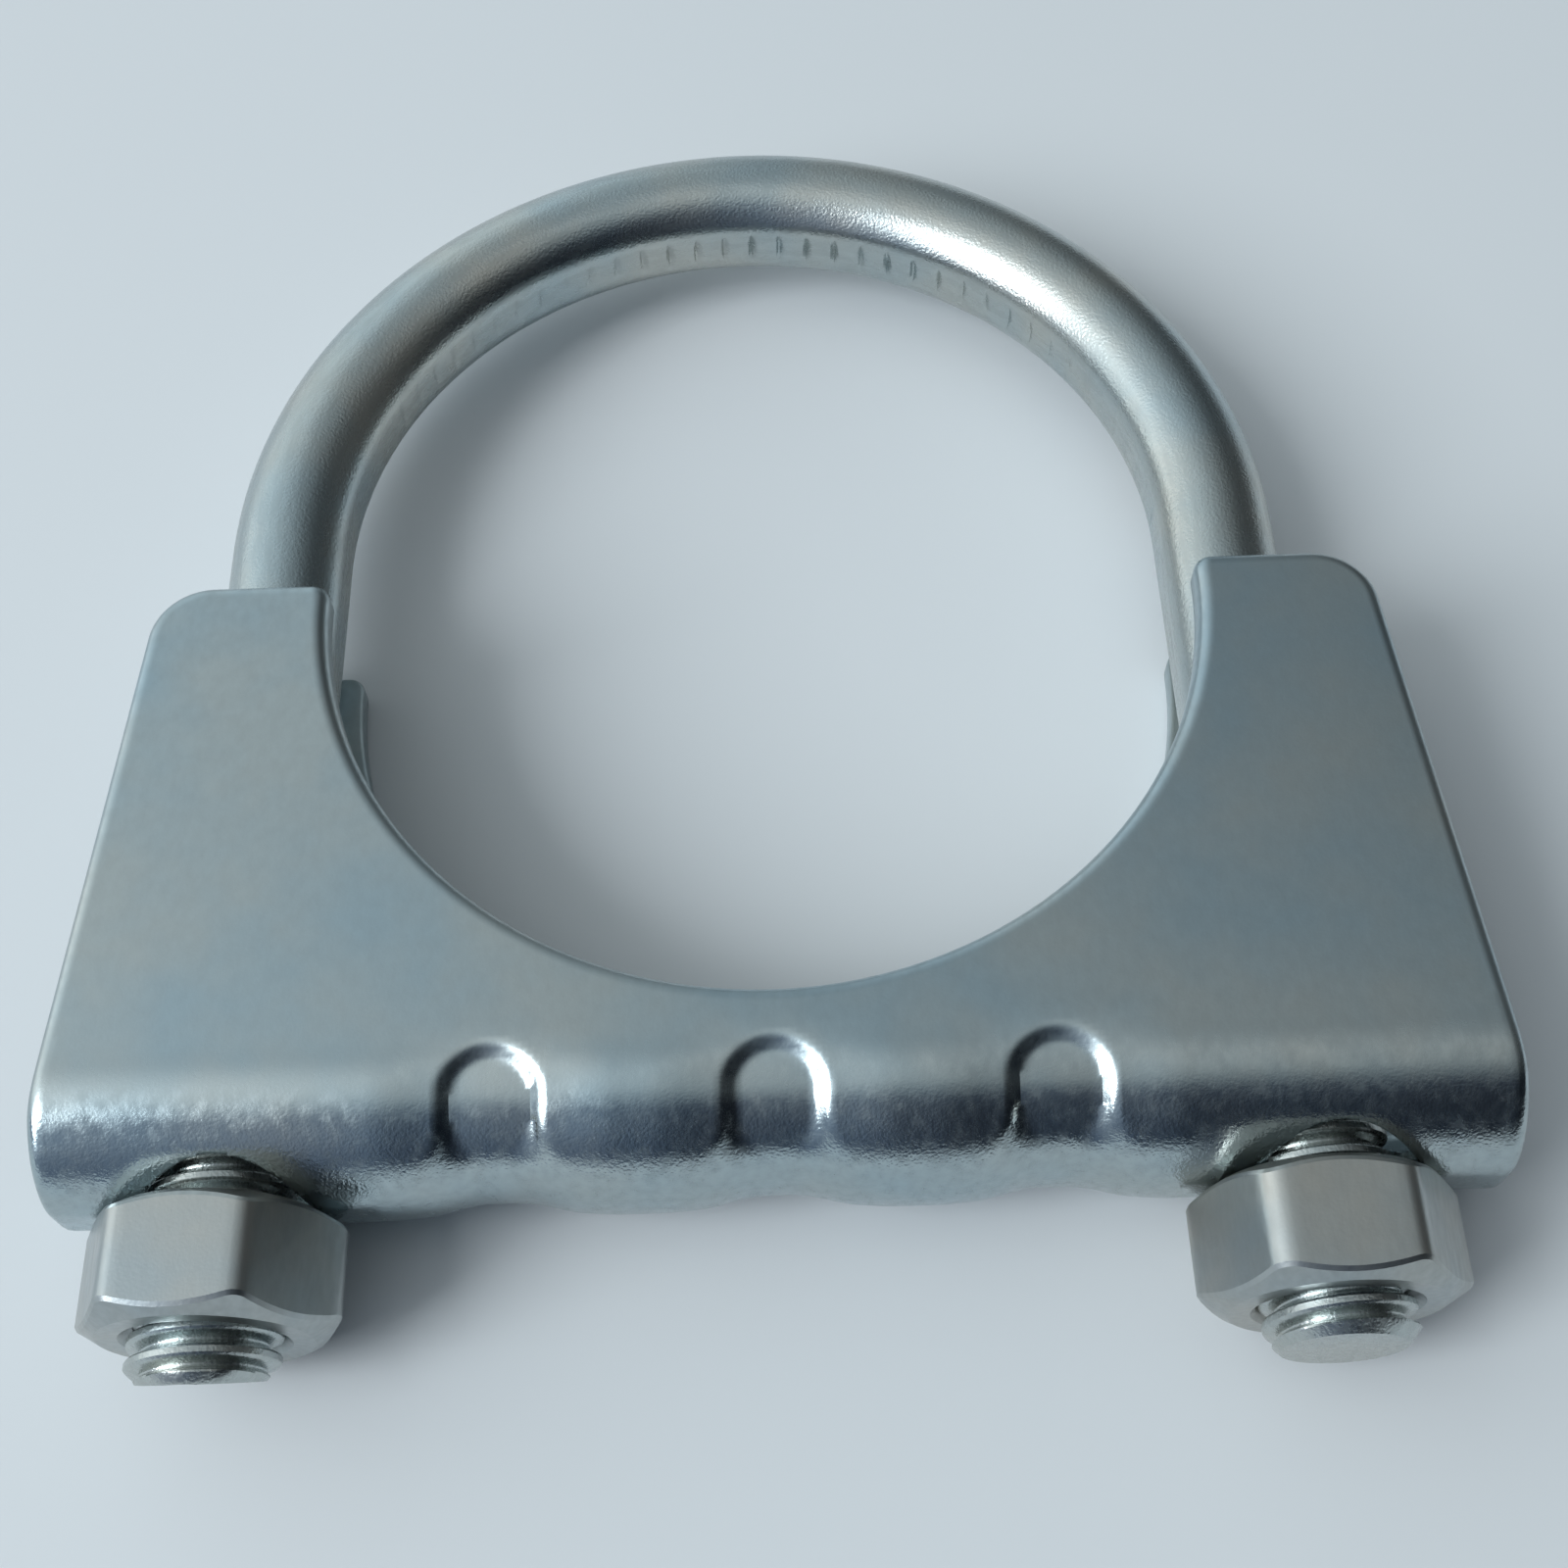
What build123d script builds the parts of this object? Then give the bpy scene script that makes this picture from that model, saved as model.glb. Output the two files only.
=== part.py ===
from build123d import *
import math
import os

# Exhaust clamp for a lapped pipe joint: a round U-bolt, a folded sheet saddle and two hex nuts.
# Sizes are in millimetres. The origin is the centre of the bend on the axis of the pipe.
# +Z runs along the pipe, +Y points to the crown of the bend, and the legs run down -Y.
# The clamp is drawn as it lies on its back cheek, done up by hand with no pipe in it.

os.makedirs("parts", exist_ok=True)

# Ring that grips the pipe, the same in the bend and in the saddle
ring_radius = 25.15

# U-bolt rod and the seat that is pressed flat along its inside
rod_diameter = 7.4
seat_depth = 0.25
seat_run = 13.0
seat_runout = 9.0

# Legs of the U-bolt, measured from the centre of the bend to the tip
left_leg_length = 50.8
right_leg_length = 50.0

# Thread on the legs, drawn as its outer cylinder
thread_diameter = 7.8
thread_length = 31.0
thread_lead_in = 0.3
tip_chamfer = 0.45

# Saddle, folded from one sheet
sheet = 2.0
leg_side_gap = 0.5
saddle_drop = 7.0
saddle_side_play = 0.6
web_height = 9.65
foot_overhang = 9.5
foot_rise = 4.2
foot_corner_radius = 12.0
horn_overhang = 6.7
horn_height = 1.1
horn_radius = 3.6
horn_inner_radius = 1.0
edge_break = 0.6

# Leg holes in the fold and the narrow flats that the nuts bear on beside them
hole_play = 0.8
pad_press = 0.1
pad_clearance = 0.2

# Flutes pressed into the fold between the legs
flute_count = 3
flute_pitch = 14.5
flute_depth = 0.7
flute_floor = 3.3
flute_wall_run = 1.5
flute_reach = 72.0
flute_rib_extra = 1.2

# Hex nuts
nut_across_flats = 12.3
nut_thickness = 6.3
nut_face_diameter = 11.0
nut_chamfer_angle = 30.0
nut_corner_radius = 0.45
nut_bore_play = 0.05
nut_countersink = 0.4
left_nut_turn = 4.0
right_nut_turn = 3.0

# Working values
margin = 1.0
rod_radius = rod_diameter / 2
bend_radius = ring_radius - seat_depth + rod_radius
thread_radius = thread_diameter / 2
inner_radius = thread_radius + leg_side_gap
outer_radius = inner_radius + sheet
saddle_centre = -saddle_drop
cut_bottom = saddle_centre - ring_radius
fold_bottom = cut_bottom - web_height
fold_axis = fold_bottom + outer_radius
horn_top = saddle_centre + horn_height
pad_face = fold_bottom + pad_press
foot_half = bend_radius + foot_overhang
horn_half = bend_radius + horn_overhang
hole_radius = thread_radius + hole_play
pad_radius = nut_across_flats / math.sqrt(3) + saddle_side_play + pad_clearance


def y_cylinder(x, radius, low, high):
    """Upright round body along Y at one leg, from low to high."""
    return Pos(x, low, 0) * Rot(-90, 0, 0) * Cylinder(
        radius, high - low, align=(Align.CENTER, Align.CENTER, Align.MIN)
    )


def make_leg_thread(x, length):
    """Outer cylinder of the thread with its lead-in and its chamfered tip."""
    top = thread_length - length
    flat = thread_radius - tip_chamfer
    side = Polyline(
        (0, top),
        (rod_radius - thread_lead_in, top),
        (thread_radius, top - thread_lead_in - (thread_radius - rod_radius)),
        (thread_radius, tip_chamfer - length),
        (flat, -length),
        (0, -length),
        close=True,
    )
    return Pos(x, 0, 0) * revolve(make_face(side), Axis.Y)


def make_u_bolt():
    """Bent rod with two threaded legs and a seat pressed along its inside."""
    path = (
        Line((-bend_radius, -left_leg_length + tip_chamfer, 0), (-bend_radius, 0, 0))
        + CenterArc((0, 0, 0), bend_radius, 180, -180)
        + Line((bend_radius, 0, 0), (bend_radius, -right_leg_length + tip_chamfer, 0))
    )
    start = Plane(origin=(-bend_radius, -left_leg_length + tip_chamfer, 0), z_dir=(0, 1, 0))
    rod = sweep(start * Circle(rod_radius), path)
    rod += make_leg_thread(-bend_radius, left_leg_length)
    rod += make_leg_thread(bend_radius, right_leg_length)
    # The press tool follows the pipe round the bend and down the legs, then eases off.
    run_end = -seat_run
    ease = ring_radius - seat_depth - margin
    tool_outline = Polyline(
        (-ring_radius, 0),
        (-ring_radius, run_end),
        (-ease, run_end - seat_runout),
        (ease, run_end - seat_runout),
        (ring_radius, run_end),
        (ring_radius, 0),
        close=True,
    )
    tool_face = make_face(tool_outline) + Circle(ring_radius)
    tool = extrude(tool_face, amount=rod_diameter, both=True)
    return rod - tool


def channel(radius, top):
    """Round-bottomed channel section about the fold's axis, drawn in the YZ plane."""
    height = top - fold_axis
    bottom = Pos(fold_axis, 0) * Circle(radius)
    sides = Pos(fold_axis + height / 2, 0) * Rectangle(height, 2 * radius)
    return Plane.YZ * (bottom + sides)


def saddle_outline():
    """Front view of the saddle: foot, sloping sides, horns and the round cut-out."""
    low = fold_bottom - margin
    foot_top = fold_bottom + foot_rise
    points = [
        (-foot_half, low),
        (-foot_half, foot_top),
        (-horn_half, horn_top),
        (horn_half, horn_top),
        (foot_half, foot_top),
        (foot_half, low),
    ]
    face = make_face(Polyline(*points, close=True))
    foot_corners = face.vertices().filter_by(lambda v: abs(v.Y - foot_top) < 0.01)
    face = fillet(foot_corners, foot_corner_radius)
    face -= Pos(0, saddle_centre) * Circle(ring_radius)
    mouth = horn_height + margin
    face -= Pos(0, saddle_centre + mouth / 2) * Rectangle(2 * ring_radius, mouth)
    tops = face.vertices().filter_by(lambda v: abs(v.Y - horn_top) < 0.01)
    outer_corners = tops.filter_by(lambda v: abs(abs(v.X) - horn_half) < 0.01)
    face = fillet(outer_corners, horn_radius)
    inner_corners = face.vertices().filter_by(
        lambda v: abs(v.Y - horn_top) < 0.01 and abs(abs(v.X) - ring_radius) < 0.01
    )
    return fillet(inner_corners, min(horn_inner_radius, 0.9 * horn_height))


def skin_edges(blank):
    """Edges of the sheared blank on its outer skin, which the die breaks."""
    along_z = blank.edges().filter_by(Axis.Z)
    return blank.edges() - along_z - blank.edges().filter_by(Axis.X).group_by(Axis.Y)[0]


def flute_body(x, radius, floor):
    """Bead that wraps round the fold: sloping walls, flat floor and round ends."""
    slope = flute_wall_run / flute_depth
    deep = radius - flute_depth
    shallow = radius + margin
    narrow = floor / 2
    wide = narrow + slope * (shallow - deep)
    section = Polyline(
        (x - narrow, fold_axis - deep),
        (x - wide, fold_axis - shallow),
        (x + wide, fold_axis - shallow),
        (x + narrow, fold_axis - deep),
        close=True,
    )
    half_section = Polyline(
        (x, fold_axis - deep),
        (x, fold_axis - shallow),
        (x + wide, fold_axis - shallow),
        (x + narrow, fold_axis - deep),
        close=True,
    )
    hinge = Axis((0, fold_axis, 0), (1, 0, 0))
    band = revolve(make_face(section).rotate(hinge, -flute_reach), hinge, 2 * flute_reach)
    end = revolve(make_face(half_section), Axis((x, fold_axis, 0), (0, 1, 0)))
    return band + end.rotate(hinge, flute_reach) + end.rotate(hinge, -flute_reach)


def make_saddle():
    """One folded sheet: two cheeks, a fluted fold, two leg holes and the flats beside them."""
    length = foot_half + margin
    blank = extrude(channel(outer_radius, horn_top + margin), length, both=True)
    blank &= extrude(saddle_outline(), outer_radius + margin, both=True)
    blank = chamfer(skin_edges(blank), edge_break)
    cavity = extrude(channel(inner_radius, horn_top + 2 * margin), length + margin, both=True)
    start = -flute_pitch * (flute_count - 1) / 2
    for number in range(flute_count):
        x = start + number * flute_pitch
        blank -= flute_body(x, outer_radius, flute_floor)
        cavity -= flute_body(x, inner_radius, flute_floor + flute_rib_extra)
    body = blank - cavity
    for x in (-bend_radius, bend_radius):
        body -= y_cylinder(x, pad_radius, fold_bottom - margin, pad_face)
        body -= y_cylinder(x, hole_radius, fold_bottom - margin, fold_axis + outer_radius)
    return Pos(saddle_side_play, 0, 0) * body


def make_nut(x, turn):
    """Hex nut with chamfered corners at both ends, seated on the flats beside its hole."""
    hexagon = RegularPolygon(nut_across_flats / 2, 6, major_radius=False, rotation=turn)
    prism = extrude(fillet(hexagon.vertices(), nut_corner_radius), nut_thickness)
    face_radius = nut_face_diameter / 2
    reach = nut_across_flats
    drop = (reach - face_radius) * math.tan(math.radians(nut_chamfer_angle))
    barrel = Polyline(
        (0, 0),
        (face_radius, 0),
        (reach, drop),
        (reach, nut_thickness - drop),
        (face_radius, nut_thickness),
        (0, nut_thickness),
        close=True,
    )
    bore = thread_radius + nut_bore_play
    wide = bore + nut_countersink
    drill = Polyline(
        (0, -margin),
        (wide + margin, -margin),
        (bore, nut_countersink),
        (bore, nut_thickness - nut_countersink),
        (wide + margin, nut_thickness + margin),
        (0, nut_thickness + margin),
        close=True,
    )
    body = prism & revolve(Plane.XZ * make_face(barrel), Axis.Z)
    body -= revolve(Plane.XZ * make_face(drill), Axis.Z)
    return Pos(x, pad_face, 0) * Rot(90, 0, 0) * body


pieces = {
    "u_bolt": make_u_bolt(),
    "saddle": make_saddle(),
    "nut_left": make_nut(-bend_radius, left_nut_turn),
    "nut_right": make_nut(bend_radius, right_nut_turn),
}

for name, piece in pieces.items():
    export_step(piece, f"parts/{name}.step")
    print(name, "volume", round(piece.volume, 1))
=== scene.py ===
import math
import random

import bmesh
import bpy
from mathutils import Euler, Matrix, Vector


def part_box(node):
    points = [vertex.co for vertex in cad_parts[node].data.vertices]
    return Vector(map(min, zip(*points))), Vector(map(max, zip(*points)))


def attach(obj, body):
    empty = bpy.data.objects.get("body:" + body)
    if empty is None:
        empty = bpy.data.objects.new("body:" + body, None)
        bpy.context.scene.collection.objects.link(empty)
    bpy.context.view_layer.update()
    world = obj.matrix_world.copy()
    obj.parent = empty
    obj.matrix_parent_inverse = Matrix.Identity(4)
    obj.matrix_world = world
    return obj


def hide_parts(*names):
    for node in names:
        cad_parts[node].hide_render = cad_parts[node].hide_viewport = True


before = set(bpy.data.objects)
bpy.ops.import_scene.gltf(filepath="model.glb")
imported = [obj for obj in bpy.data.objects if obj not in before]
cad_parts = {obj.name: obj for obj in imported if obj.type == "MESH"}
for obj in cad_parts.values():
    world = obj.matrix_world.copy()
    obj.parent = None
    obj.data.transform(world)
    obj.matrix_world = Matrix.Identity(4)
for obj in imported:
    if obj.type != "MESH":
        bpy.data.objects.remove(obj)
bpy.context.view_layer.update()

# U-bolt: one length of drawn mild steel, thread-rolled at both ends and bent cold round a former.
# A press then flattens the inside of the bend into a seat, and strikes a row of short chisel marks
# across it that bite into the pipe. The bolt is barrel-plated with zinc and passivated clear blue.
MM = 0.001
ROD_RADIUS = 3.7 * MM
THREAD_RADIUS = 3.9 * MM
RING_RADIUS = 25.15 * MM
SEAT_DEPTH = 0.25 * MM
BEND_RADIUS = RING_RADIUS - SEAT_DEPTH + ROD_RADIUS
SEAT_RUN = 13.0 * MM
SEAT_RUNOUT = 9.0 * MM
SEAT_LIP = 0.1 * MM
SEAT_EDGE = 2.0 * MM
LEG_SIDE = {"left": -1, "right": 1}
LEG_SHORTFALL = {"left": 0.0, "right": 0.8 * MM}
TIP_FLAT_RADIUS = 3.2 * MM
TIP_SLANT = {"left": 0.24, "right": 0.0}
THREAD_LENGTH = 31.0 * MM
THREAD_PITCH = 1.25 * MM
THREAD_RUNOUT = 2.0 * MM
SHANK_GAP = THREAD_PITCH / 2

# How finely the rod is divided, with its segments crowded towards the inside of the bend, how near
# two points have to be to merge, and the angle from which an edge is shaded sharp
ROD_SEGMENTS = 60
ROD_CROWDING = 0.4
BEND_ROWS = 740
LEG_ROWS = 64
STEPS_PER_TURN = 48
MERGE = 0.002 * MM
CUT_SNAP = MERGE / 10
CREASE = math.radians(32)

# One pitch of the rolled thread: the share of it at which each point lies, and how far in mm that
# point is below the crest
THREAD_PROFILE = [
    (0.00, 0.70), (0.07, 0.66), (0.14, 0.50), (0.22, 0.27), (0.30, 0.08), (0.38, 0.01),
    (0.62, 0.01), (0.70, 0.08), (0.78, 0.27), (0.86, 0.50), (0.93, 0.66), (1.00, 0.70),
]

# Chisel marks in the seat, struck hardest a little to the right of the crown and never quite alike
MARK_PITCH = 1.88 * MM
MARK_COUNT = 37
MARK_HALF_WIDTH = 0.44 * MM
MARK_HALF_LENGTH = 1.3 * MM
MARK_DEPTH = 0.36 * MM
MARK_STEEP_SIDE = 0.4
MARK_CENTRE = math.radians(76)
MARK_SPREAD = math.radians(34)
MARK_LEAST = 0.16
MARK_UNEVEN = (0.75, 1.1)
MARK_LEAN = 0.06


def thread_sleeve(x, low, high, phase, spare=0.0):
    """Right-hand helix about one leg, cut square at both ends. Spare widens it, for a nut."""
    start = phase + math.floor((low - phase) / THREAD_PITCH - 1) * THREAD_PITCH
    turns = math.ceil((high - start) / THREAD_PITCH) + 1
    last = len(THREAD_PROFILE) - 1
    bm = bmesh.new()
    bmesh.ops.create_grid(bm, x_segments=last, y_segments=turns * STEPS_PER_TURN, size=1)
    for vert in bm.verts:
        along, depth = THREAD_PROFILE[round((vert.co.x + 1) / 2 * last)]
        turn = (vert.co.y + 1) / 2 * turns
        radius = THREAD_RADIUS + spare - depth * MM
        angle = turn * math.tau
        height = start + (turn + along) * THREAD_PITCH
        vert.co = (x + radius * math.cos(angle), height, -radius * math.sin(angle))
    bmesh.ops.remove_doubles(bm, verts=bm.verts, dist=MERGE)
    for height, side in ((low, -1), (high, 1)):
        bmesh.ops.bisect_plane(
            bm, geom=bm.verts[:] + bm.edges[:] + bm.faces[:], dist=CUT_SNAP,
            plane_co=(0, height, 0), plane_no=(0, side, 0), clear_outer=True,
        )
    return bm


def set_radius(vert, x, radius):
    """Moves a point straight out from a leg's axis, or in towards it."""
    offset = Vector((vert.co.x - x, 0, vert.co.z))
    vert.co.x = x + offset.x * radius / offset.length
    vert.co.z = offset.z * radius / offset.length


def rim_at(bm, height):
    """The open edges that lie at one height along Y."""
    return [
        e for e in bm.edges if e.is_boundary and all(abs(v.co.y - height) < MERGE for v in e.verts)
    ]


def join(bm, other):
    """Adds another bmesh's faces to this one."""
    mesh = bpy.data.meshes.new("joined")
    other.to_mesh(mesh)
    other.free()
    bm.from_mesh(mesh)
    bpy.data.meshes.remove(mesh)


def finish_piece(bm, name, material, crease=CREASE):
    """Turns a closed bmesh into a smooth-shaded piece that stands for the CAD node of its name."""
    bmesh.ops.remove_doubles(bm, verts=bm.verts, dist=MERGE)
    bmesh.ops.recalc_face_normals(bm, faces=bm.faces)
    for face in bm.faces:
        face.smooth = True
    for edge in bm.edges:
        edge.smooth = edge.calc_face_angle(0) < crease
    mesh = bpy.data.meshes.new(name)
    bm.to_mesh(mesh)
    bm.free()
    piece = bpy.data.objects.new(name + "_finished", mesh)
    bpy.context.scene.collection.objects.link(piece)
    piece.data.materials.append(material)
    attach(piece, name)
    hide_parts(name)
    return piece


def linear(code):
    """An sRGB hex code as the linear colour that a shader takes."""
    parts = [int(code[i:i + 2], 16) / 255 for i in (1, 3, 5)]
    return [*(p / 12.92 if p <= 0.04045 else ((p + 0.055) / 1.055) ** 2.4 for p in parts), 1]


def add_node(tree, kind, links=(), settings=(), **values):
    """Adds one node, sets its properties and socket values, and links its inputs."""
    node = tree.nodes.new(kind)
    for key, value in dict(settings).items():
        setattr(node, key, value)
    for key, value in values.items():
        node.inputs[key.replace("_", " ")].default_value = value
    for key, source in dict(links).items():
        tree.links.new(source, node.inputs[key])
    return node


# Plated zinc: the widths of its blue drift and of its peel, where both noises mostly lie, how much
# the flecks darken or lighten it, and how far its sheen strays. The real peel is finer than this,
# but it would be lost between the picture's points.
DRIFT_WIDTH = 9.0 * MM
PEEL_WIDTH = 0.17 * MM
DRIFT_REACH = {"From_Min": 0.35, "From_Max": 0.65}
FLECK_REACH = {"From_Min": 0.3, "From_Max": 0.7}
FLECK_SHADE = {"To_Min": 0.93, "To_Max": 1.05}
EVEN_SHEEN = 0.12
LINE_BLUR = 2.0 * MM


def zinc_plate(
    name, clear, blue, matt, grain, draw, peel, follows=None,
    rubbed=1.0, patchy=EVEN_SHEEN, rub_line=0.0, calm=1.0, calm_line=0.0,
):
    """Zinc plate on steel: a slow drift between clear and blue, flecks that the rolling or drawing
    pulls out along Y, and a fine peel. Grain is the flecks' width and peel is the peel's height, both
    in mm. Follows names the attribute that the flecks and the drift follow on a piece that was bent.
    A die may have rubbed the skin brighter and patchier below the rub line, and the peel may be
    calmer above the calm line."""
    material = bpy.data.materials.new(name)
    material.use_nodes = True
    tree = material.node_tree
    shader = tree.nodes["Principled BSDF"]
    shader.inputs["Metallic"].default_value = 1.0
    place = add_node(tree, "ShaderNodeTexCoord").outputs["Object"]
    where = place
    if follows:
        where = add_node(
            tree, "ShaderNodeAttribute", settings={"attribute_name": follows},
        ).outputs["Vector"]
    drawn = add_node(tree, "ShaderNodeMapping", {"Vector": where}, Scale=(1, 1 / draw, 1))
    drift = add_node(tree, "ShaderNodeTexNoise", {"Vector": where}, Scale=1 / DRIFT_WIDTH, Detail=3.0)
    fleck = add_node(
        tree, "ShaderNodeTexNoise", {"Vector": drawn.outputs["Vector"]},
        Scale=1 / (grain * MM), Detail=5.0,
    )
    blend = add_node(tree, "ShaderNodeMapRange", {"Value": drift.outputs["Fac"]}, **DRIFT_REACH)
    tint = add_node(tree, "ShaderNodeMix", {"Factor": blend.outputs["Result"]}, {"data_type": "RGBA"})
    tint.inputs["A"].default_value = linear(clear)
    tint.inputs["B"].default_value = linear(blue)
    shade = add_node(
        tree, "ShaderNodeMapRange", {"Value": fleck.outputs["Fac"]}, **FLECK_REACH, **FLECK_SHADE,
    )
    tone = add_node(
        tree, "ShaderNodeVectorMath", {0: tint.outputs["Result"], 1: shade.outputs["Result"]},
        {"operation": "MULTIPLY"},
    )
    height = add_node(tree, "ShaderNodeSeparateXYZ", {"Vector": place}).outputs["Y"]
    dull, bright, strain = (
        add_node(
            tree, "ShaderNodeMapRange", {"Value": height}, From_Min=line - LINE_BLUR,
            From_Max=line + LINE_BLUR, To_Min=below, To_Max=above,
        ).outputs["Result"]
        for line, below, above in (
            (rub_line, matt * rubbed * (1 + patchy), matt * (1 + EVEN_SHEEN)),
            (rub_line, matt * rubbed * (1 - patchy), matt * (1 - EVEN_SHEEN)),
            (calm_line, 1.0, calm),
        )
    )
    satin = add_node(
        tree, "ShaderNodeMapRange", {"Value": fleck.outputs["Fac"], "To Min": dull, "To Max": bright},
        **FLECK_REACH,
    )
    skin = add_node(tree, "ShaderNodeTexNoise", {"Vector": place}, Scale=1 / PEEL_WIDTH, Detail=2.0)
    bump = add_node(
        tree, "ShaderNodeBump", {"Height": skin.outputs["Fac"], "Strength": strain},
        Distance=peel * MM,
    )
    tree.links.new(tone.outputs["Vector"], shader.inputs["Base Color"])
    tree.links.new(satin.outputs["Result"], shader.inputs["Roughness"])
    tree.links.new(bump.outputs["Normal"], shader.inputs["Normal"])
    return material


# Drawn rod takes a brighter, smoother plate than the rolled sheet, with the die's lines along it.
STRAIGHT_PLACE = "place_along_rod"
rod_zinc = zinc_plate(
    "bright zinc on drawn rod", "#bec0bb", "#aebabd", matt=0.27, grain=0.5, draw=5, peel=0.026,
    follows=STRAIGHT_PLACE,
)

# The threads run out into the plain rod. Each tip is chamfered, and sheared off more or less square.
bolt_low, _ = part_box("u_bolt")
bolt = bmesh.new()
tips = {}
thread_tops = {}
for side, sign in LEG_SIDE.items():
    x = sign * BEND_RADIUS
    tip = bolt_low.y + LEG_SHORTFALL[side]
    top = tip + THREAD_LENGTH
    tips[side] = tip
    thread_tops[side] = top
    leg = thread_sleeve(x, tip, top, tip)
    sheared = Vector((x, tip, TIP_FLAT_RADIUS))
    down = Vector((0, -1, -TIP_SLANT[side])).normalized()
    for vert in leg.verts:
        radius = math.hypot(vert.co.x - x, vert.co.z)
        fade = min(1, (top - vert.co.y) / THREAD_RUNOUT)
        radius = ROD_RADIUS + (radius - ROD_RADIUS) * fade
        inward = max(0.0, (sheared - vert.co).dot(down))
        set_radius(vert, x, min(radius, TIP_FLAT_RADIUS + inward))
    bmesh.ops.bisect_plane(
        leg, geom=leg.verts[:] + leg.edges[:] + leg.faces[:], dist=CUT_SNAP,
        plane_co=sheared, plane_no=down, clear_outer=True,
    )
    bmesh.ops.contextual_create(
        leg, geom=[e for e in leg.edges if e.is_boundary and e.verts[0].co.y < top - MERGE],
    )
    join(bolt, leg)


def rod_skin(rows, place):
    """A length of the plain rod. Place gives its centre and outer side at a share of the length."""
    bm = bmesh.new()
    bmesh.ops.create_grid(bm, x_segments=ROD_SEGMENTS, y_segments=rows, size=1)
    for vert in bm.verts:
        centre, outer = place((vert.co.y + 1) / 2)
        angle = math.pi * vert.co.x - ROD_CROWDING * math.sin(math.pi * vert.co.x)
        vert.co = centre - outer * (ROD_RADIUS * math.cos(angle))
        vert.co.z += ROD_RADIUS * math.sin(angle)
    return bm


def leg_place(sign, top):
    """Places down one leg, from the bend to the start of the thread."""
    outer = Vector((sign, 0, 0))
    return lambda share: (outer * BEND_RADIUS + Vector((0, top * share, 0)), outer)


def bend_place(share):
    """Places round the bend, from the right leg to the left one."""
    outer = Vector((math.cos(math.pi * share), math.sin(math.pi * share), 0))
    return outer * BEND_RADIUS, outer


join(bolt, rod_skin(BEND_ROWS, bend_place))
for side, sign in LEG_SIDE.items():
    join(bolt, rod_skin(LEG_ROWS, leg_place(sign, thread_tops[side] + SHANK_GAP)))
bmesh.ops.remove_doubles(bolt, verts=bolt.verts, dist=MERGE)
for side, sign in LEG_SIDE.items():
    rims = rim_at(bolt, thread_tops[side]) + rim_at(bolt, thread_tops[side] + SHANK_GAP)
    bmesh.ops.bridge_loops(bolt, edges=[e for e in rims if e.verts[0].co.x * sign > 0])

# How hard each mark is struck, and how far it leans
marks = []
random.seed(7)
for number in range(MARK_COUNT):
    middle = (number - MARK_COUNT // 2) * MARK_PITCH / RING_RADIUS
    strength = MARK_LEAST + (1 - MARK_LEAST) * math.exp(-((middle / MARK_SPREAD) ** 2))
    strength *= random.uniform(*MARK_UNEVEN)
    marks.append((strength, random.uniform(-MARK_LEAN, MARK_LEAN)))


def mark_depth(angle, z):
    """How far the chisel marks sink into the seat at an angle round the bend."""
    number = round((angle - MARK_CENTRE) * RING_RADIUS / MARK_PITCH)
    if abs(number) > MARK_COUNT // 2 or abs(z) > MARK_HALF_LENGTH:
        return 0.0
    strength, lean = marks[number + MARK_COUNT // 2]
    away = (angle - MARK_CENTRE) * RING_RADIUS - number * MARK_PITCH + lean * z
    taper = 1 - (z / MARK_HALF_LENGTH) ** 2
    steep = MARK_STEEP_SIDE if away > 0 else 1.0
    across = abs(away) / (MARK_HALF_WIDTH * steep * math.sqrt(taper) + MERGE)
    return MARK_DEPTH * strength * taper * max(0.0, 1 - across)


def rounded_max(a, b, lip):
    """The larger of two lengths, rounded over by a lip where they cross."""
    return max(a, b) + lip * math.log1p(math.exp(-abs(a - b) / lip))


# The press works round the bend and some way down both legs, where the seat eases off. It moves
# only what is inside the seat or close to its edge.
for vert in bolt.verts:
    run = max(0.0, -vert.co.y - SEAT_RUN)
    reach = math.hypot(vert.co.x, max(0.0, vert.co.y))
    seat = RING_RADIUS - SEAT_DEPTH * run / SEAT_RUNOUT
    if run >= SEAT_RUNOUT or reach > seat + SEAT_EDGE:
        continue
    pressed = rounded_max(reach, seat, SEAT_LIP)
    if reach < seat and vert.co.y > -SEAT_RUN:
        pressed += mark_depth(math.atan2(vert.co.y, vert.co.x), vert.co.z)
    vert.co.x *= pressed / reach
    if vert.co.y > 0:
        vert.co.y *= pressed / reach

# Each point's place as if the rod were straight, which the drawn finish follows. The legs count
# back over the bend, so that the pattern runs on from it without a jump.
straight = bolt.verts.layers.float_vector.new(STRAIGHT_PLACE)
for vert in bolt.verts:
    outward = math.hypot(vert.co.x, max(0.0, vert.co.y)) - BEND_RADIUS
    along = BEND_RADIUS * math.atan2(max(0.0, vert.co.y), vert.co.x)
    down = min(0.0, vert.co.y)
    vert[straight] = (outward, along + math.copysign(down, vert.co.x), vert.co.z)
finish_piece(bolt, "u_bolt", rod_zinc)


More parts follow.
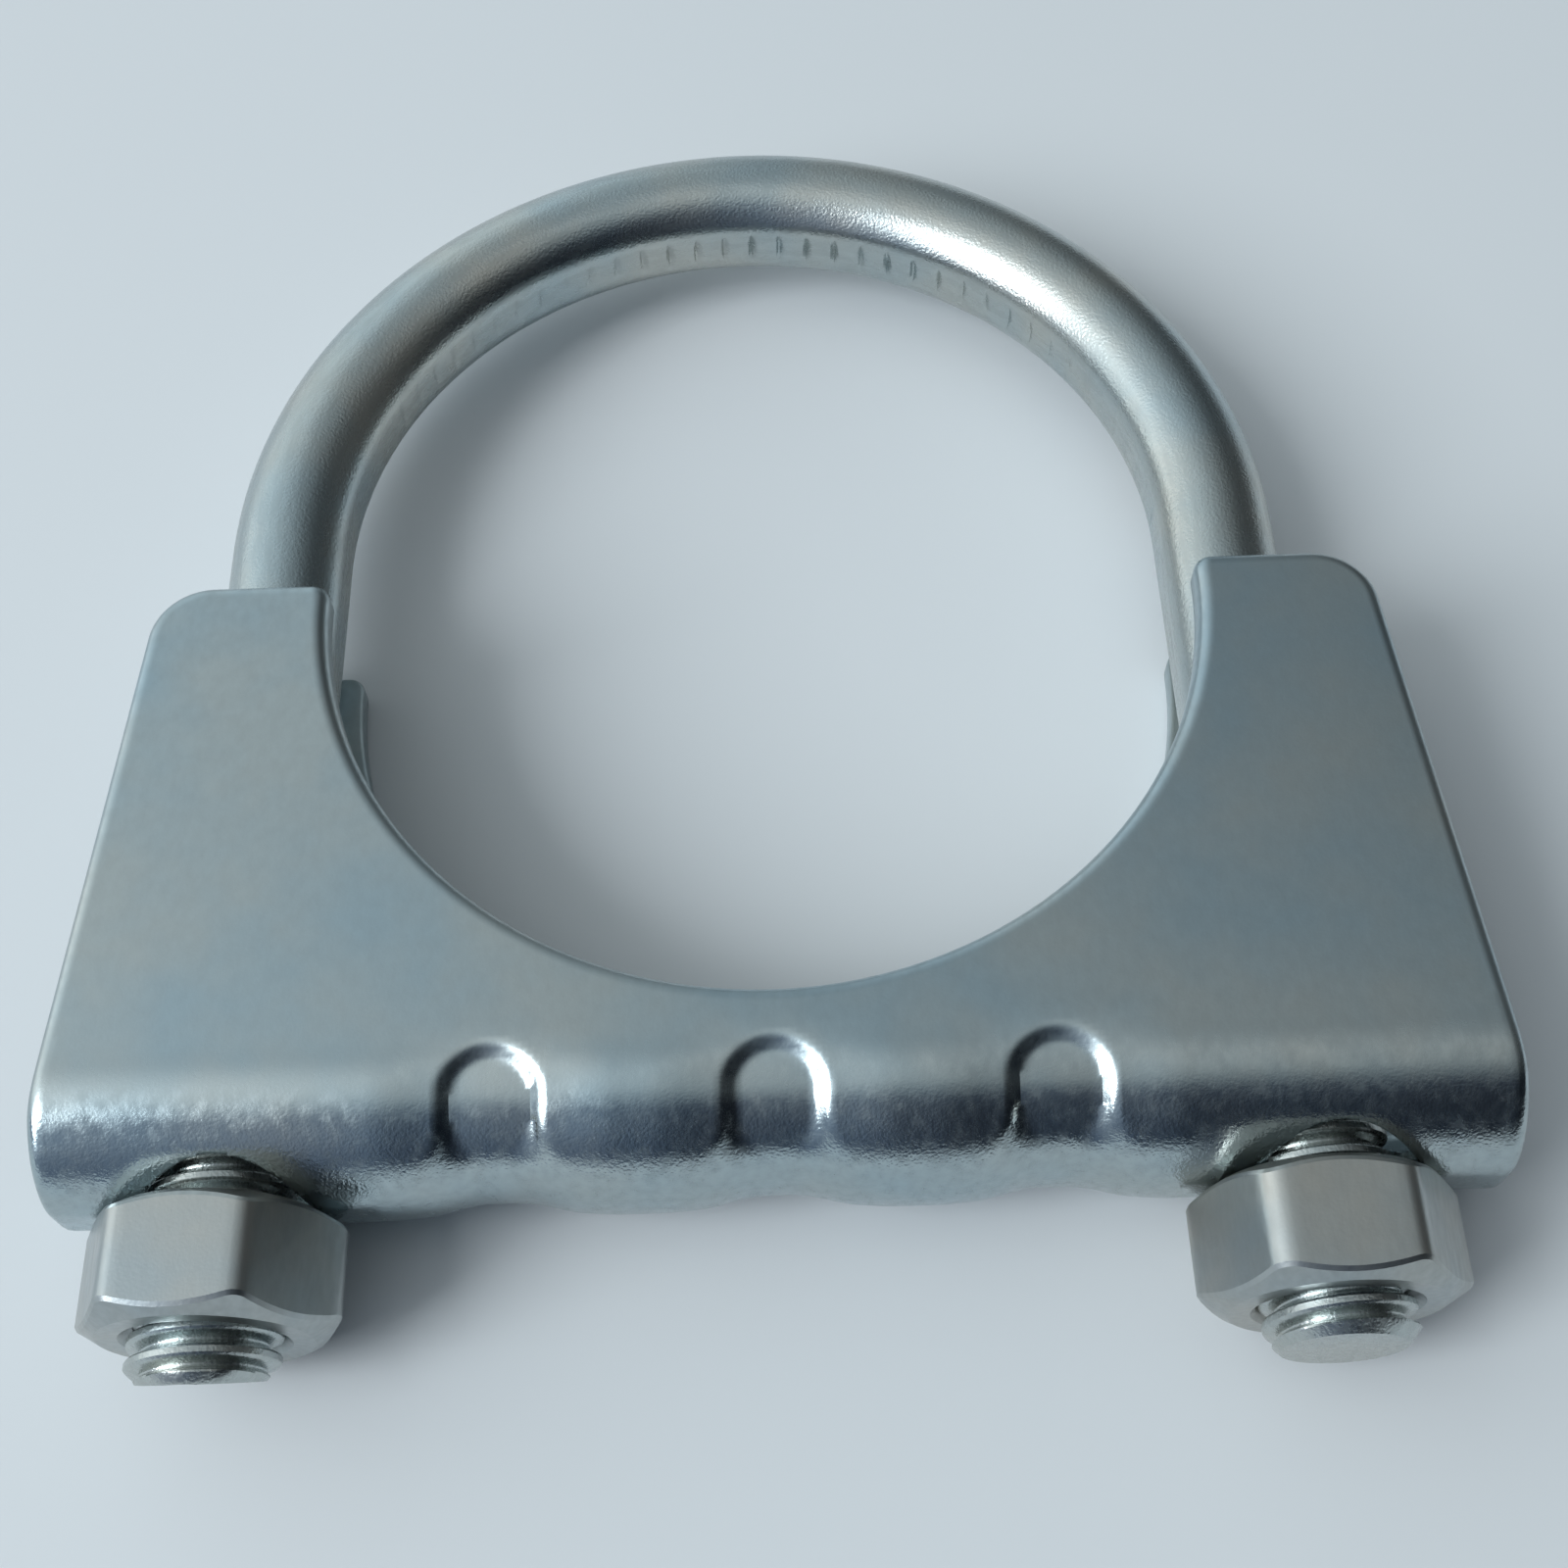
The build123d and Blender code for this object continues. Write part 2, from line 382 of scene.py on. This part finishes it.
# Saddle: blanked from 2 mm sheet steel, fluted and folded in one stroke round a full radius. The die
# rolls the edges of the outer skin over and leaves the inner ones sharp. Two flats are struck
# round the leg holes for the nuts, and the whole is zinc-plated and passivated blue.
SHEET = 2.0 * MM
SADDLE_DROP = 7.0 * MM
FOOT_OVERHANG = 9.5 * MM
FOOT_RISE = 4.2 * MM
FOOT_CORNER_RADIUS = 12.0 * MM
HORN_OVERHANG = 6.7 * MM
HORN_RADIUS = 3.6 * MM
HORN_INNER_RADIUS = 1.0 * MM
EDGE_ROLL = 0.75 * MM
BURR_EDGE = 0.1 * MM
BURR_ANGLE = math.radians(50)
HOLE_RADIUS = THREAD_RADIUS + 0.8 * MM
PAD_PRESS = 0.1 * MM
PAD_RADIUS = 7.7 * MM
PAD_LIP = 0.02 * MM

# The flutes: a steep wall and a wide shoulder, softer underneath the fold than on its front
FLUTE_PLACES = (-14.5 * MM, 0, 14.5 * MM)
FLUTE_WALL = 0.48 * MM
FLUTE_SHOULDER = 0.26 * MM
FLUTE_FLOOR = 2.0 * MM
FLUTE_OPENING = 2.78 * MM
FLUTE_SOFTENING = 1.3 * MM
FLUTE_SOFT_SHARES = (0.32, 0.62)
FLUTE_CREST = 6.4 * MM
FLUTE_REACH = math.radians(71)

# How finely the fold, the holes and the outline are divided: the grid of the fold goes a little way
# up both cheeks, and stops short of the ends and of the rolled edge.
CELL = 0.32 * MM
SKIRT = 1.6 * MM
END_COLUMN = 2.0 * MM
ROLL_MARGIN = EDGE_ROLL + 0.3 * MM
RIM_BAND = 0.15 * MM
HOLE_SIDES = 64
CUT_STEPS = 120
HORN_STEPS = 14
HORN_INNER_STEPS = 8

saddle_low, saddle_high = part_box("saddle")
saddle_x = (saddle_low.x + saddle_high.x) / 2
fold_radius = saddle_high.z
fold_axis = saddle_low.y + fold_radius
fold_quarter = fold_radius * math.pi / 2
fold_run = fold_quarter + SKIRT
horn_top = saddle_high.y
foot_half = BEND_RADIUS + FOOT_OVERHANG
horn_half = BEND_RADIUS + HORN_OVERHANG
foot_top = saddle_low.y + FOOT_RISE
side_slope = (foot_half - horn_half) / (horn_top - foot_top)
skirt_top = fold_axis + SKIRT
pad_face = saddle_low.y + PAD_PRESS


def smooth_step(low, high, value):
    """0 below low, 1 above high, and an even curve between."""
    t = min(1.0, max(0.0, (value - low) / (high - low)))
    return t * t * (3 - 2 * t)


def side_at(y):
    """Half width of the saddle at a height, with the foot's soft corner."""
    tangent = FOOT_CORNER_RADIUS * math.tan(math.atan(side_slope) / 2)
    if y < foot_top - tangent:
        return foot_half
    if y > foot_top + tangent:
        return foot_half - (y - foot_top) * side_slope
    up = y - (foot_top - tangent)
    return foot_half - FOOT_CORNER_RADIUS + math.sqrt(FOOT_CORNER_RADIUS ** 2 - up ** 2)


def flute_depth(x, run):
    """Depth of the flutes at a place along the fold and a run round it from its lowest line."""
    past = max(0.0, abs(run) - FLUTE_REACH * fold_radius)
    away = min(math.hypot(x - place, past) for place in FLUTE_PLACES)
    soft_end, crisp_start = (share * fold_quarter for share in FLUTE_SOFT_SHARES)
    soft = FLUTE_SOFTENING * (1 - smooth_step(soft_end, crisp_start, abs(run)))
    wall = 1 - smooth_step(FLUTE_FLOOR - soft, FLUTE_OPENING + soft, away)
    shoulder = 1 - smooth_step(FLUTE_FLOOR, FLUTE_CREST, away)
    fade = 1 - smooth_step(FLUTE_REACH * fold_radius, fold_run, abs(run))
    return FLUTE_WALL * wall + FLUTE_SHOULDER * shoulder * fade


def fold_point(x, run):
    """Point of the outer skin round the fold and up the skirt of each cheek."""
    turn = max(-fold_quarter, min(fold_quarter, run)) / fold_radius
    radius = fold_radius - flute_depth(x, run)
    up = max(0.0, abs(run) - fold_quarter)
    y = fold_axis - radius * math.cos(turn) + up
    z = radius * math.sin(turn)
    if math.hypot(abs(x) - BEND_RADIUS, z) < PAD_RADIUS:
        y = rounded_max(y, pad_face, PAD_LIP)
    return Vector((x, y, z))


def arc(x, y, radius, start, end, steps):
    """Points along an arc, angles in degrees."""
    turns = [math.radians(start + (end - start) * i / steps) for i in range(steps + 1)]
    return [(x + radius * math.cos(t), y + radius * math.sin(t)) for t in turns]


# Rolled sheet takes the plate with a matt, bluer face. The folding die rubs the fold brighter, and
# bending roughens its skin, which stays smooth on the cheeks.
RUB_DROP = 1.0 * MM
CALM_DROP = 4.0 * MM
sheet_zinc = zinc_plate(
    "blue zinc on rolled sheet", "#b1b9b9", "#a4b5bc", matt=0.34, grain=0.6, draw=1.5, peel=0.03,
    rubbed=0.6, patchy=0.5, rub_line=fold_axis - RUB_DROP, calm=0.12, calm_line=fold_axis - CALM_DROP,
)

# The outer skin of the fold and of the lowest part of both cheeks, bent from a flat grid
saddle = bmesh.new()
inner_half = foot_half - END_COLUMN
columns = 2 * round(inner_half / CELL)
rows = 2 * round(fold_run / CELL)
bmesh.ops.create_grid(saddle, x_segments=columns, y_segments=rows, size=1)
for vert in saddle.verts:
    vert.co = fold_point(vert.co.x * inner_half, vert.co.y * fold_run)

# Its ends, drawn out to the sides, with one row of points just inside the rolled edge
for sign in LEG_SIDE.values():
    ends = [
        e for e in saddle.edges
        if e.is_boundary and all(v.co.x * sign > inner_half - MERGE for v in e.verts)
    ]
    for short in (ROLL_MARGIN, 0):
        made = bmesh.ops.extrude_edge_only(saddle, edges=ends)["geom"]
        moved = {g for g in made if isinstance(g, bmesh.types.BMVert)}
        for vert in moved:
            vert.co.x = sign * (side_at(vert.co.y) - short)
        ends = [e for e in saddle.edges if moved.issuperset(e.verts)]

# Above that each cheek is one flat face, up one side, over the horn, through the cut-out and back.
horn_slope = math.degrees(math.atan(side_slope))
horn_x = -horn_half + HORN_RADIUS * (1 - side_slope / 2)
horn_inner_x = -RING_RADIUS - HORN_INNER_RADIUS
horn = arc(horn_x, horn_top - HORN_RADIUS, HORN_RADIUS, 180 - horn_slope, 90, HORN_STEPS)
horn += arc(
    horn_inner_x, horn_top - HORN_INNER_RADIUS, HORN_INNER_RADIUS, 90, 0, HORN_INNER_STEPS,
)
cut = arc(0, -SADDLE_DROP, RING_RADIUS, 180, 360, CUT_STEPS)
outline = horn + cut + [(-x, y) for x, y in reversed(horn)]
for z in (-fold_radius, fold_radius):
    skirt_rim = [
        v for v in saddle.verts
        if v.is_boundary and abs(v.co.y - skirt_top) < MERGE and abs(v.co.z - z) < MERGE
    ]
    skirt_rim.sort(key=lambda v: v.co.x)
    upper = [saddle.verts.new((x, y, z)) for x, y in outline]
    saddle.faces.new(list(reversed(skirt_rim)) + upper)
bmesh.ops.recalc_face_normals(saddle, faces=saddle.faces)
if max(saddle.faces, key=lambda f: f.calc_center_median().z).normal.z < 0:
    bmesh.ops.reverse_faces(saddle, faces=saddle.faces)
saddle.normal_update()

# The sheet's thickness, grown inwards from the outer skin, and the roll of its outer edge
outer_rim = [e for e in saddle.edges if e.is_boundary]
made = bmesh.ops.extrude_face_region(saddle, geom=saddle.faces[:], use_keep_orig=True)["geom"]
for vert in (g for g in made if isinstance(g, bmesh.types.BMVert)):
    vert.co -= vert.normal * SHEET
bmesh.ops.recalc_face_normals(saddle, faces=saddle.faces)
bmesh.ops.bevel(
    saddle, geom=[e for e in outer_rim if e.is_valid], offset=EDGE_ROLL, offset_type="OFFSET",
    segments=5, profile=0.5, affect="EDGES", clamp_overlap=False, material=-1,
)


def drill(bm, drill_bits):
    """Cuts the bits' shapes out of a piece with an exact boolean."""
    blank_mesh = bpy.data.meshes.new("blank")
    bits_mesh = bpy.data.meshes.new("bits")
    bm.to_mesh(blank_mesh)
    drill_bits.to_mesh(bits_mesh)
    bm.free()
    drill_bits.free()
    blank = bpy.data.objects.new("blank", blank_mesh)
    bits = bpy.data.objects.new("bits", bits_mesh)
    bpy.context.scene.collection.objects.link(blank)
    bpy.context.scene.collection.objects.link(bits)
    cut_out = blank.modifiers.new("holes", "BOOLEAN")
    cut_out.operation = "DIFFERENCE"
    cut_out.object = bits
    cut_out.solver = "EXACT"
    drilled = bmesh.new()
    drilled.from_object(blank, bpy.context.evaluated_depsgraph_get())
    bpy.data.meshes.remove(blank_mesh)
    bpy.data.meshes.remove(bits_mesh)
    return drilled


# The leg holes, and then the small edge that deburring leaves on everything sharp
drill_bits = bmesh.new()
for sign in LEG_SIDE.values():
    bit = bmesh.ops.create_cone(
        drill_bits, cap_ends=True, segments=HOLE_SIDES, radius1=HOLE_RADIUS, radius2=HOLE_RADIUS,
        depth=2 * fold_radius,
    )["verts"]
    bmesh.ops.rotate(drill_bits, verts=bit, matrix=Euler((math.pi / 2, 0, 0)).to_matrix())
    bmesh.ops.translate(drill_bits, verts=bit, vec=(sign * BEND_RADIUS, saddle_low.y, 0))
saddle = drill(saddle, drill_bits)
burrs = [e for e in saddle.edges if e.calc_face_angle(0) > BURR_ANGLE]
bmesh.ops.bevel(
    saddle, geom=burrs, offset=BURR_EDGE, offset_type="OFFSET", segments=2, profile=0.5,
    affect="EDGES", clamp_overlap=False, material=-1,
)

# A narrow band inside the rim of each cheek keeps the shading of its one big face flat.
cheeks = [f for f in saddle.faces if len(f.verts) > CUT_STEPS]
bmesh.ops.inset_individual(saddle, faces=cheeks, thickness=RIM_BAND, use_even_offset=True)
bmesh.ops.translate(saddle, verts=saddle.verts, vec=(saddle_x, 0, 0))
finish_piece(saddle, "saddle", sheet_zinc)


# Hex nuts: cold-formed from steel wire and tapped, with both ends chamfered to a round face. They
# are plated in the same kind of bath as the bolt, where tumbling bruises their corners a little, and
# each is screwed up its leg against a flat of the saddle.
ACROSS_FLATS = 12.3 * MM
NUT_FACE_RADIUS = 5.5 * MM
NUT_CONE = math.tan(math.radians(30))
NUT_TURN = {"left": math.radians(4), "right": math.radians(3)}
NUT_EDGE = 0.08 * MM
NUT_CREASE = math.radians(25)
SIDE_CUTS = 12
BORE_SPARE = 0.05 * MM
BORE_RADIUS = 3.35 * MM
COUNTERSINK = 4.35 * MM
COUNTERSINK_RIM = 0.12 * MM

# The right nut has one corner that is more worn than the rest, named by its angle on the hexagon.
CORNER_WEAR = 0.6 * MM
WORN_CORNERS = {"left": (), "right": (math.radians(30),)}
WORN_CORNER_WEAR = 0.9 * MM
SAME_CORNER = 0.1
RIM_WEAR = 0.16 * MM
RIM_ANGLE = math.radians(45)

# Tumbling leaves the nuts satin, with faint upright draw lines from forming.
nut_zinc = zinc_plate(
    "satin zinc on formed nut", "#b6b4ad", "#a5aeb1", matt=0.32, grain=0.4, draw=3, peel=0.005,
)


def end_faces(nut):
    """The faces at the two ends of a nut, which alone have more than six sides."""
    return [f for f in nut.faces if len(f.verts) > 6]


def hex_nut(side):
    """One nut on its leg, with its top against the pressed flat."""
    nut_low, nut_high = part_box("nut_" + side)
    x = LEG_SIDE[side] * BEND_RADIUS
    thickness = nut_high.y - nut_low.y
    nut = bmesh.new()
    bmesh.ops.create_circle(nut, cap_ends=True, segments=6, radius=ACROSS_FLATS / math.sqrt(3))
    worn = [
        v for v in nut.verts for angle in WORN_CORNERS[side]
        if abs(math.atan2(v.co.y, v.co.x) - angle) < SAME_CORNER
    ]
    sound = [v for v in nut.verts if v not in worn]
    for corners, offset in ((worn, WORN_CORNER_WEAR), (sound, CORNER_WEAR)):
        bmesh.ops.bevel(
            nut, geom=corners, offset=offset, segments=4, profile=0.5, affect="VERTICES", material=-1,
        )
    sides = [e for e in nut.edges if e.calc_length() > ACROSS_FLATS / 4]
    bmesh.ops.subdivide_edges(nut, edges=sides, cuts=SIDE_CUTS)
    made = bmesh.ops.extrude_face_region(nut, geom=nut.faces[:], use_keep_orig=True)["geom"]
    top = [g for g in made if isinstance(g, bmesh.types.BMVert)]
    bmesh.ops.translate(nut, verts=top, vec=(0, 0, thickness))

    # Each end, inset to its round face and then to the rim of the countersink, and the 30 degree
    # chamfer that lifts the corners
    for radius in (NUT_FACE_RADIUS, COUNTERSINK + COUNTERSINK_RIM):
        ends = end_faces(nut)
        rims = {v for f in ends for v in f.verts}
        bmesh.ops.inset_individual(nut, faces=ends, thickness=NUT_EDGE)
        for vert in {v for f in end_faces(nut) for v in f.verts} - rims:
            scale = radius / math.hypot(vert.co.x, vert.co.y)
            vert.co.x *= scale
            vert.co.y *= scale
    for vert in nut.verts:
        past = math.hypot(vert.co.x, vert.co.y) - NUT_FACE_RADIUS
        lift = max(0.0, past * NUT_CONE)
        vert.co.z = min(max(vert.co.z, lift), thickness - lift)
    bmesh.ops.delete(nut, geom=end_faces(nut), context="FACES_ONLY")
    sharp = [e for e in nut.edges if e.calc_face_angle(0) > RIM_ANGLE]
    bmesh.ops.bevel(
        nut, geom=sharp, offset=RIM_WEAR, offset_type="OFFSET", segments=1, profile=0.5,
        affect="EDGES", clamp_overlap=True, material=-1,
    )
    upright = Euler((math.pi / 2, 0, 0)).to_matrix()
    turned = upright @ Matrix.Rotation(NUT_TURN[side] + math.pi / 2, 3, "Z")
    bmesh.ops.rotate(nut, verts=nut.verts, matrix=turned)
    bmesh.ops.translate(nut, verts=nut.verts, vec=(x, nut_high.y, 0))

    # The tapped bore, in step with the thread on its leg and countersunk at both ends
    bore = thread_sleeve(x, nut_low.y, nut_high.y, tips[side], BORE_SPARE)
    for vert in bore.verts:
        depth = min(vert.co.y - nut_low.y, nut_high.y - vert.co.y)
        radius = math.hypot(vert.co.x - x, vert.co.z)
        set_radius(vert, x, max(radius, BORE_RADIUS, COUNTERSINK - depth))
    join(nut, bore)
    for height in (nut_low.y, nut_high.y):
        bmesh.ops.bridge_loops(nut, edges=rim_at(nut, height))
    finish_piece(nut, "nut_" + side, nut_zinc, crease=NUT_CREASE)


for side in LEG_SIDE:
    hex_nut(side)


# Stage: the clamp lies on its back cheek on a pale floor of matt paper, in soft studio light, with
# the camera where the photograph was taken from.
FLOOR_HALF = 1.5
floor_bm = bmesh.new()
bmesh.ops.create_grid(floor_bm, x_segments=1, y_segments=1, size=FLOOR_HALF)
bmesh.ops.translate(floor_bm, verts=floor_bm.verts, vec=(0, 0, saddle_low.z))
floor_mesh = bpy.data.meshes.new("floor")
floor_bm.to_mesh(floor_mesh)
floor_bm.free()
floor = bpy.data.objects.new("floor", floor_mesh)
bpy.context.scene.collection.objects.link(floor)
paper = bpy.data.materials.new("pale paper")
paper.use_nodes = True
paper_shader = paper.node_tree.nodes["Principled BSDF"]
paper_shader.inputs["Base Color"].default_value = linear("#dde2e5")
paper_shader.inputs["Roughness"].default_value = 0.9
floor_mesh.materials.append(paper)

# The room: brightest overhead, mid grey behind the object, dark on the camera's side and towards
# the right, where it falls off faster the lower one looks. A window to the left in front glows a
# little round its frame.
WINDOW_PLACE = Vector((-0.70, -0.36, 0.61))
WINDOW_SIZE = (0.4, 0.6)
WINDOW_POWER = 6.4
WINDOW_LIGHT = "#f7fcff"
GLOW_LIGHT = "#959ca2"
GLOW_START = 0.55
GLOW_FALLOFF = 2.0
ROOM_AXIS = Vector((0, -0.88, -0.45))
ROOM_TONES = [
    (0.00, "#a3afb5"), (0.09, "#a5b0b5"), (0.17, "#b3bcc0"), (0.275, "#d5d9d9"), (0.40, "#c3c9ca"),
    (0.465, "#9aa3a8"), (0.56, "#596270"), (0.63, "#505967"), (0.95, "#485261"),
]
SIDE_LIMITS = {"Min": -0.22, "Max": 0.6}
FALL_HEIGHTS = {"From_Min": 0.6, "From_Max": 0.92}
FALL_RATES = {"To_Min": -3.2, "To_Max": -0.9}
SIGHT_LINES = {
    "front": ROOM_AXIS, "window": WINDOW_PLACE, "right": Vector((1, 0, 0)), "up": Vector((0, 0, 1)),
}
world = bpy.data.worlds.new("studio")
bpy.context.scene.world = world
world.use_nodes = True
sky = world.node_tree
aim = add_node(sky, "ShaderNodeTexCoord").outputs["Generated"]
towards = {}
for name, axis in SIGHT_LINES.items():
    dot = add_node(sky, "ShaderNodeVectorMath", {0: aim}, {"operation": "DOT_PRODUCT"})
    dot.inputs[1].default_value = axis
    towards[name] = dot.outputs["Value"]
share = add_node(sky, "ShaderNodeMapRange", {"Value": towards["front"]}, From_Min=-1.0, From_Max=1.0)
room = add_node(sky, "ShaderNodeValToRGB", {"Fac": share.outputs["Result"]})
tones = room.color_ramp.elements
tones.remove(tones[0])
tones[0].position, tones[0].color = ROOM_TONES[0][0], linear(ROOM_TONES[0][1])
for place, code in ROOM_TONES[1:]:
    tones.new(place).color = linear(code)
aside = add_node(sky, "ShaderNodeClamp", {"Value": towards["right"]}, **SIDE_LIMITS)
fall = add_node(sky, "ShaderNodeMapRange", {"Value": towards["up"]}, **FALL_HEIGHTS, **FALL_RATES)
power = add_node(
    sky, "ShaderNodeMath", {0: aside.outputs["Result"], 1: fall.outputs["Result"]},
    {"operation": "MULTIPLY"},
)
side_fall = add_node(sky, "ShaderNodeMath", {0: power.outputs["Value"]}, {"operation": "EXPONENT"})
lit_room = add_node(
    sky, "ShaderNodeVectorMath", {0: room.outputs["Color"], 1: side_fall.outputs["Value"]},
    {"operation": "MULTIPLY"},
)
near_window = add_node(
    sky, "ShaderNodeMapRange", {"Value": towards["window"]}, From_Min=GLOW_START, From_Max=1.0,
)
glow = add_node(sky, "ShaderNodeMath", {0: near_window.outputs["Result"]}, {"operation": "POWER"})
glow.inputs[1].default_value = GLOW_FALLOFF
glow_tone = add_node(
    sky, "ShaderNodeVectorMath", {0: glow.outputs["Value"]}, {"operation": "MULTIPLY"},
)
glow_tone.inputs[1].default_value = linear(GLOW_LIGHT)[:3]
whole = add_node(
    sky, "ShaderNodeVectorMath", {0: lit_room.outputs["Vector"], 1: glow_tone.outputs["Vector"]},
    {"operation": "ADD"},
)
sky.links.new(whole.outputs["Vector"], sky.nodes["Background"].inputs["Color"])
sky.nodes["Background"].inputs["Strength"].default_value = 1.0

window_data = bpy.data.lights.new("window", "AREA")
window_data.shape = "RECTANGLE"
window_data.size, window_data.size_y = WINDOW_SIZE
window_data.energy = WINDOW_POWER
window_data.color = linear(WINDOW_LIGHT)[:3]
window = bpy.data.objects.new("window", window_data)
bpy.context.scene.collection.objects.link(window)
window.location = WINDOW_PLACE
window.rotation_euler = WINDOW_PLACE.to_track_quat("Z", "Y").to_euler()

# Camera: it looks down on the clamp from the side of the nuts, and its place, turn, focal length in
# the photograph's pixels and principal point were fitted to the outlines there.
CAMERA_PLACE = Vector((1.561, -72.351, 101.143)) * MM
CAMERA_TARGET = Vector((0, -22.0, 0)) * MM
CAMERA_TRIM = (0.0511, -0.0026, -0.0595)
FOCAL_PIXELS = 2021.9
PHOTO_SIDE = 1600
SENSOR = 36.0
PRINCIPAL = (779.7, 778.25)
camera_data = bpy.data.cameras.new("camera")
camera_data.sensor_width = SENSOR
camera_data.lens = FOCAL_PIXELS / PHOTO_SIDE * SENSOR
camera_data.shift_x = (PHOTO_SIDE / 2 - PRINCIPAL[0]) / PHOTO_SIDE
camera_data.shift_y = (PRINCIPAL[1] - PHOTO_SIDE / 2) / PHOTO_SIDE
camera_data.clip_start = 0.01
camera_data.clip_end = 10.0
camera = bpy.data.objects.new("camera", camera_data)
bpy.context.scene.collection.objects.link(camera)
back = (CAMERA_PLACE - CAMERA_TARGET).normalized()
right = Vector((0, 0, 1)).cross(back).normalized()
base = Matrix((right, back.cross(right), back)).transposed()
camera.rotation_euler = (base @ Euler(CAMERA_TRIM, "YXZ").to_matrix()).to_euler()
camera.location = CAMERA_PLACE
bpy.context.scene.camera = camera
bpy.context.scene.view_settings.view_transform = "Standard"
